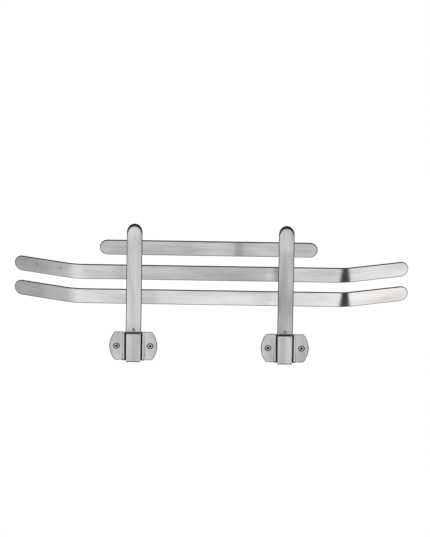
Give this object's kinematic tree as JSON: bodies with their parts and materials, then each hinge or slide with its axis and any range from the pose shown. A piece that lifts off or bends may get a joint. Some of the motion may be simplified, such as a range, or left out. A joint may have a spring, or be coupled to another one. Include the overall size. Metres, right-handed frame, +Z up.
{
  "type": "folding wall rack",
  "caption": "Folding wall rack for hats and coats: flat steel slats with turned ends on two hinged arms, each on a screwed wall plate.",
  "frame": {"origin": "on the wall, midway between the centres of the two wall plates", "axes": "+X to the right along the slats, +Y into the wall, +Z up; the front faces -Y"},
  "size_m": [0.631, 0.0474, 0.2353],
  "materials": {
    "steel": "satin, brushed along each bar",
    "screw_steel": "turned, slightly dulled",
    "rubber": "black, matte",
    "nylon": "black, moulded"
  },
  "bodies": {
    "brackets": {"bracket_left": "steel", "pivot_pin_left": "steel", "side_spacer_left_a": "nylon", "side_spacer_left_b": "nylon", "wall_screw_left_a": "screw_steel", "wall_screw_left_b": "screw_steel", "bracket_right": "steel", "pivot_pin_right": "steel", "side_spacer_right_a": "nylon", "side_spacer_right_b": "nylon", "wall_screw_right_a": "screw_steel", "wall_screw_right_b": "screw_steel"},
    "rack": {"knuckle_left": "steel", "arm_left": "steel", "foot_rivet_left": "steel", "buffer_left": "rubber", "slat_rivet_left_lower": "steel", "slat_rivet_left_middle": "steel", "slat_rivet_left_upper": "steel", "knuckle_right": "steel", "arm_right": "steel", "foot_rivet_right": "steel", "buffer_right": "rubber", "slat_rivet_right_lower": "steel", "slat_rivet_right_middle": "steel", "slat_rivet_right_upper": "steel", "slat_lower": "steel", "slat_middle": "steel", "slat_upper": "steel"}
  },
  "joints": [
    {"name": "fold", "type": "hinge", "parent": "brackets", "child": "rack", "pos_m": [0, -0.0096, -0.0177], "axis": [1, 0, 0], "range_deg": [0, 90]}
  ]
}
